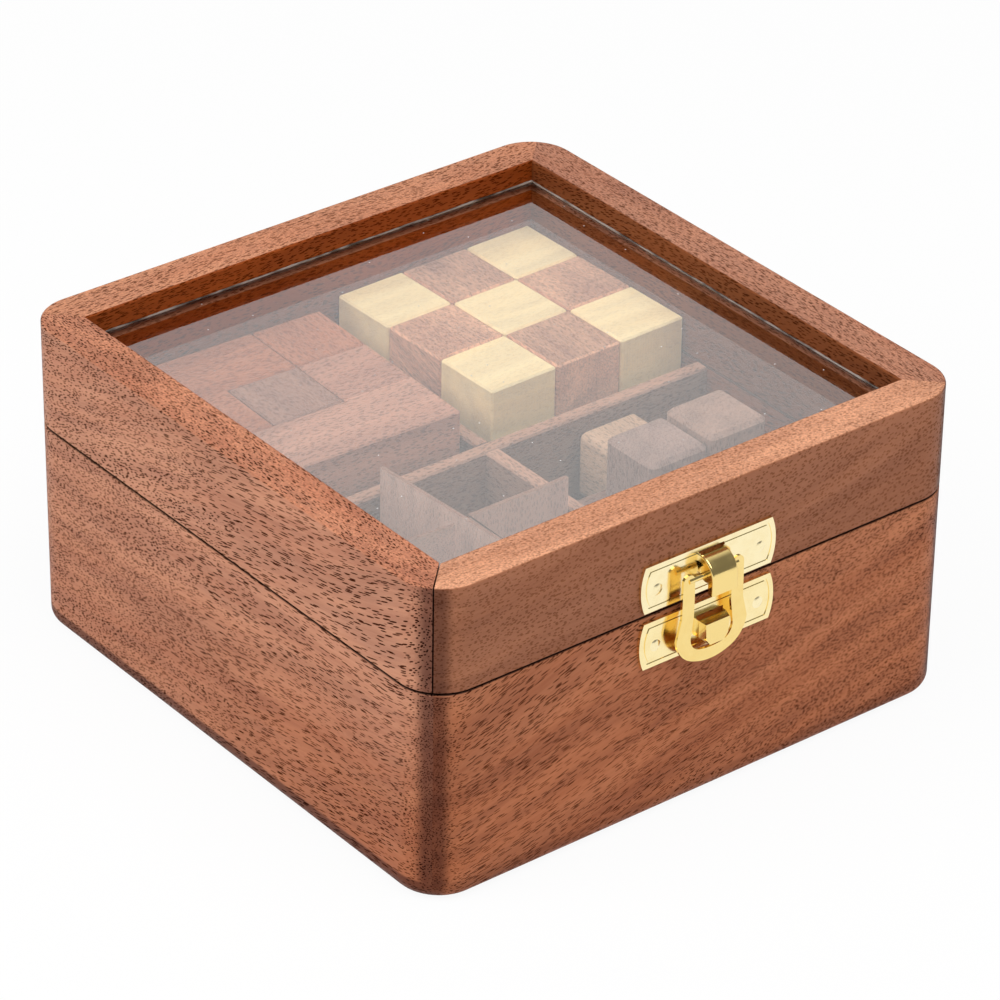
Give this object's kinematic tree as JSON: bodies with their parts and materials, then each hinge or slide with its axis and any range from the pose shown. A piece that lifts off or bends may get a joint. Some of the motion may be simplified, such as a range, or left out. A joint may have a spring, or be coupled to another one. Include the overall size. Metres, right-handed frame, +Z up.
{
  "type": "wooden puzzle box",
  "caption": "Square hinged hardwood box with a glass-panelled lid and a brass loop latch, partitioned inside to store small wooden cube, burr and tangram puzzles.",
  "frame": {"origin": "centre of the box's underside, midway between the outer faces of its walls", "axes": "+Z up; -Y towards the front, where the latch is; +X to the right for someone facing the front"},
  "size_m": [0.13, 0.1402, 0.069],
  "materials": {
    "base_wood": "open-grained reddish brown hardwood with a satin clear finish",
    "lid_wood": "open-grained reddish brown hardwood with a satin clear finish",
    "floor_wood": "plain brown wood, satin",
    "divider_wood": "pale brown wood, unpolished",
    "lid_glass": "clear flat glass",
    "latch_brass": "bright polished brass plate",
    "hinge_brass": "polished brass plate",
    "soma_wood": "brown wood, sanded",
    "snake_light_wood": "cream wood, sanded",
    "snake_dark_wood": "brown wood, sanded",
    "elastic_cord": "black elastic cord",
    "tangram_wood": "thin brown wood, sanded",
    "burr_wood": "dark brown wood, sanded with round edges"
  },
  "bodies": {
    "base": {"base_back_wall": "base_wood", "base_floor_panel": "floor_wood", "base_front_wall": "base_wood", "base_hinge_screws": "hinge_brass", "base_left_wall": "base_wood", "base_right_wall": "base_wood", "long_divider": "divider_wood", "back_short_divider": "divider_wood", "front_short_divider": "divider_wood", "left_hinge_base_leaf": "hinge_brass", "right_hinge_base_leaf": "hinge_brass", "left_hinge_pin": "hinge_brass", "right_hinge_pin": "hinge_brass", "latch_lower_plate": "latch_brass", "latch_base_brads": "latch_brass"},
    "lid": {"lid_back_rail": "lid_wood", "lid_front_rail": "lid_wood", "lid_glass": "lid_glass", "lid_hinge_screws": "hinge_brass", "lid_left_rail": "lid_wood", "lid_right_rail": "lid_wood", "left_hinge_lid_leaf": "hinge_brass", "right_hinge_lid_leaf": "hinge_brass", "latch_upper_plate": "latch_brass", "latch_lid_brads": "latch_brass"},
    "bail": {"latch_bail": "latch_brass"},
    "soma": {"soma_corner_piece": "soma_wood", "soma_ell_piece": "soma_wood", "soma_left_twist_piece": "soma_wood", "soma_right_twist_piece": "soma_wood", "soma_tee_piece": "soma_wood", "soma_tripod_piece": "soma_wood", "soma_zed_piece": "soma_wood"},
    "snake": {"snake_dark_cubes_bottom": "snake_dark_wood", "snake_dark_cubes_middle": "snake_dark_wood", "snake_dark_cubes_top": "snake_dark_wood", "snake_elastic_cord": "elastic_cord", "snake_light_cubes_bottom": "snake_light_wood", "snake_light_cubes_middle": "snake_light_wood", "snake_light_cubes_top": "snake_light_wood"},
    "tangram": {"tangram_large_triangle_lower": "tangram_wood", "tangram_large_triangle_upper": "tangram_wood", "tangram_medium_triangle": "tangram_wood", "tangram_parallelogram": "tangram_wood", "tangram_small_triangle_lower": "tangram_wood", "tangram_small_triangle_upper": "tangram_wood", "tangram_square": "tangram_wood"},
    "burr": {"burr_back_crosswise": "burr_wood", "burr_front_crosswise": "burr_wood", "burr_key_upright": "burr_wood", "burr_left_upright": "burr_wood", "burr_lower_lengthwise": "burr_wood", "burr_upper_lengthwise": "burr_wood"}
  },
  "joints": [
    {"name": "lid_hinge", "type": "hinge", "parent": "base", "child": "lid", "pos_m": [0, 0.06735, 0.04612], "axis": [-1, 0, 0], "range_deg": [0, 105]},
    {"name": "bail_swing", "type": "hinge", "parent": "lid", "child": "bail", "pos_m": [-0.0005, -0.06895, 0.0523], "axis": [-1, 0, 0], "range_deg": [-5, 150]},
    {"name": "soma_lift", "type": "slide", "parent": "base", "child": "soma", "axis": [0, 0, 1], "range_m": [0, 0.0065]},
    {"name": "snake_lift", "type": "slide", "parent": "base", "child": "snake", "axis": [0, 0, 1], "range_m": [0, 0.0065]},
    {"name": "tangram_lift", "type": "slide", "parent": "base", "child": "tangram", "axis": [0, 0, 1], "range_m": [0, 0.0065]},
    {"name": "burr_lift", "type": "slide", "parent": "base", "child": "burr", "axis": [0, 0, 1], "range_m": [0, 0.0065]}
  ]
}
